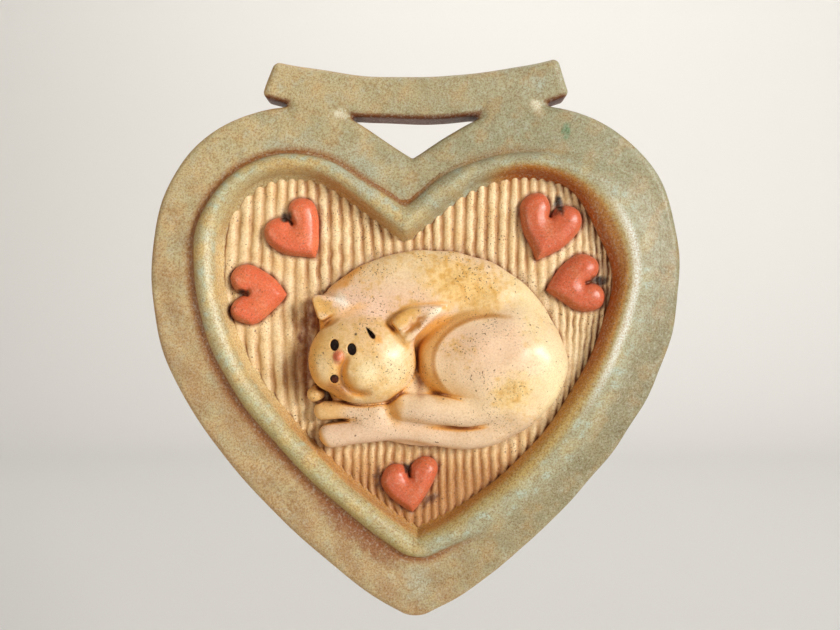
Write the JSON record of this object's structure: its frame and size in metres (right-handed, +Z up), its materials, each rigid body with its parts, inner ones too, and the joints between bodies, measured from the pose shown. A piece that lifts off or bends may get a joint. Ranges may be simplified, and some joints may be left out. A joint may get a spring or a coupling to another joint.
{
  "type": "heart-shaped ceramic wall plaque",
  "caption": "Heart-shaped glazed stoneware wall plaque with a raised bead, a combed recess, a sleeping cat relief, small applied hearts and a hanger bar.",
  "frame": {"origin": "middle of the hanger bar's underside on the back plane, where the nail or hook sits", "axes": "+Z up as it hangs, -Y out of the front, +Y into the wall, +X to the right seen from the front"},
  "size_m": [0.1214, 0.0167, 0.1279],
  "materials": {
    "rim_glaze": "satin sage and tan glaze with fine brown speckle",
    "bead_glaze": "glossy pale blue-green glaze breaking to ochre",
    "panel_glaze": "satin cream glaze with brown wash in the comb marks",
    "heart_glaze": "glossy coral glaze with red speckle",
    "cat_glaze": "glossy cream glaze with ochre patches and dark specks",
    "cat_ochre_glaze": "glossy ochre and cream glaze",
    "nose_glaze": "glossy pink glaze",
    "dark_glaze": "glossy dark brown glaze"
  },
  "bodies": {
    "root": {"bead_coil_left": "bead_glaze", "bead_coil_right": "bead_glaze", "cat_body": "cat_glaze", "cat_cheek_left": "cat_glaze", "cat_cheek_right": "cat_glaze", "cat_ear_left": "cat_ochre_glaze", "cat_ear_right": "cat_ochre_glaze", "cat_eye_left": "dark_glaze", "cat_eye_right": "dark_glaze", "cat_forepaw_front": "cat_ochre_glaze", "cat_forepaw_rear": "cat_ochre_glaze", "cat_haunch": "cat_glaze", "cat_head": "cat_glaze", "cat_hind_foot": "cat_glaze", "cat_mouth": "dark_glaze", "cat_nose": "nose_glaze", "cat_tail": "cat_glaze", "combed_panel": "panel_glaze", "hanger_bar": "rim_glaze", "hanger_neck_left": "rim_glaze", "hanger_neck_right": "rim_glaze", "heart_bottom": "heart_glaze", "heart_left": "heart_glaze", "heart_right": "heart_glaze", "heart_upper_left": "heart_glaze", "heart_upper_right": "heart_glaze", "rim_frame": "rim_glaze"}
  },
  "joints": []
}
